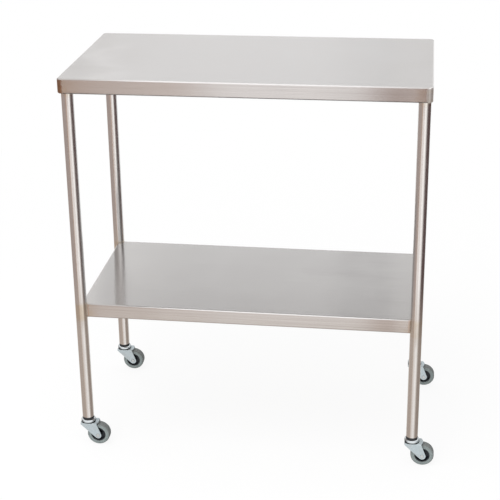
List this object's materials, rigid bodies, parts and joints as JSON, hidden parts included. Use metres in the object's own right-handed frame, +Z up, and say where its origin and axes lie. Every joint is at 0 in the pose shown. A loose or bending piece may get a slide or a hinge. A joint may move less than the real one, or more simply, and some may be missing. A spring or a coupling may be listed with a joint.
{
  "type": "stainless work table",
  "caption": "Stainless steel work table with a folded top, a folded lower shelf, round tube legs and swivel casters.",
  "frame": {"origin": "on the floor, under the middle of the table top", "axes": "+X along the length, the way every caster trails at rest; +Y to the rear; +Z up"},
  "size_m": [0.7951, 0.4064, 0.8636],
  "materials": {
    "stainless_sheet": "brushed stainless sheet, grain along the length",
    "stainless_tube": "polished stainless tube with a fine grain",
    "bright_plate": "bright plated pressed steel",
    "zinc_plate": "clear bluish zinc plate, satin",
    "plated_steel": "dull plated steel",
    "bearing_steel": "ground and polished steel",
    "grey_tread": "non-marking grey rubber, slightly dusty",
    "black_hub": "moulded black plastic",
    "black_rubber": "black moulded rubber"
  },
  "bodies": {
    "table": {"top_shelf": "stainless_sheet", "lower_shelf": "stainless_sheet", "top_stiffener": "stainless_sheet", "lower_shelf_stiffener": "stainless_sheet", "front_left_leg": "stainless_tube", "front_left_caster_stem": "plated_steel", "front_left_race_cup": "bright_plate", "front_left_expander_sleeve": "black_rubber", "front_left_expander_washer": "plated_steel", "front_left_expander_nut": "plated_steel", "front_right_leg": "stainless_tube", "front_right_caster_stem": "plated_steel", "front_right_race_cup": "bright_plate", "front_right_expander_sleeve": "black_rubber", "front_right_expander_washer": "plated_steel", "front_right_expander_nut": "plated_steel", "rear_left_leg": "stainless_tube", "rear_left_caster_stem": "plated_steel", "rear_left_race_cup": "bright_plate", "rear_left_expander_sleeve": "black_rubber", "rear_left_expander_washer": "plated_steel", "rear_left_expander_nut": "plated_steel", "rear_right_leg": "stainless_tube", "rear_right_caster_stem": "plated_steel", "rear_right_race_cup": "bright_plate", "rear_right_expander_sleeve": "black_rubber", "rear_right_expander_washer": "plated_steel", "rear_right_expander_nut": "plated_steel"},
    "front_left_caster_fork": {"front_left_fork": "zinc_plate", "front_left_race_balls": "bearing_steel", "front_left_axle_rivet": "plated_steel"},
    "front_left_wheel": {"front_left_tyre": "grey_tread", "front_left_wheel_hub": "black_hub", "front_left_wheel_bush": "plated_steel"},
    "front_right_caster_fork": {"front_right_fork": "zinc_plate", "front_right_race_balls": "bearing_steel", "front_right_axle_rivet": "plated_steel"},
    "front_right_wheel": {"front_right_tyre": "grey_tread", "front_right_wheel_hub": "black_hub", "front_right_wheel_bush": "plated_steel"},
    "rear_left_caster_fork": {"rear_left_fork": "zinc_plate", "rear_left_race_balls": "bearing_steel", "rear_left_axle_rivet": "plated_steel"},
    "rear_left_wheel": {"rear_left_tyre": "grey_tread", "rear_left_wheel_hub": "black_hub", "rear_left_wheel_bush": "plated_steel"},
    "rear_right_caster_fork": {"rear_right_fork": "zinc_plate", "rear_right_race_balls": "bearing_steel", "rear_right_axle_rivet": "plated_steel"},
    "rear_right_wheel": {"rear_right_tyre": "grey_tread", "rear_right_wheel_hub": "black_hub", "rear_right_wheel_bush": "plated_steel"}
  },
  "joints": [
    {"name": "front_left_swivel", "type": "hinge", "parent": "table", "child": "front_left_caster_fork", "pos_m": [-0.3651, -0.181, 0.0552], "axis": [0, 0, 1], "continuous": true},
    {"name": "front_left_wheel_spin", "type": "hinge", "parent": "front_left_caster_fork", "child": "front_left_wheel", "pos_m": [-0.3416, -0.181, 0.0254], "axis": [0, 1, 0], "continuous": true},
    {"name": "front_right_swivel", "type": "hinge", "parent": "table", "child": "front_right_caster_fork", "pos_m": [0.3651, -0.181, 0.0552], "axis": [0, 0, 1], "continuous": true},
    {"name": "front_right_wheel_spin", "type": "hinge", "parent": "front_right_caster_fork", "child": "front_right_wheel", "pos_m": [0.3886, -0.181, 0.0254], "axis": [0, 1, 0], "continuous": true},
    {"name": "rear_left_swivel", "type": "hinge", "parent": "table", "child": "rear_left_caster_fork", "pos_m": [-0.3651, 0.181, 0.0552], "axis": [0, 0, 1], "continuous": true},
    {"name": "rear_left_wheel_spin", "type": "hinge", "parent": "rear_left_caster_fork", "child": "rear_left_wheel", "pos_m": [-0.3416, 0.181, 0.0254], "axis": [0, 1, 0], "continuous": true},
    {"name": "rear_right_swivel", "type": "hinge", "parent": "table", "child": "rear_right_caster_fork", "pos_m": [0.3651, 0.181, 0.0552], "axis": [0, 0, 1], "continuous": true},
    {"name": "rear_right_wheel_spin", "type": "hinge", "parent": "rear_right_caster_fork", "child": "rear_right_wheel", "pos_m": [0.3886, 0.181, 0.0254], "axis": [0, 1, 0], "continuous": true}
  ]
}
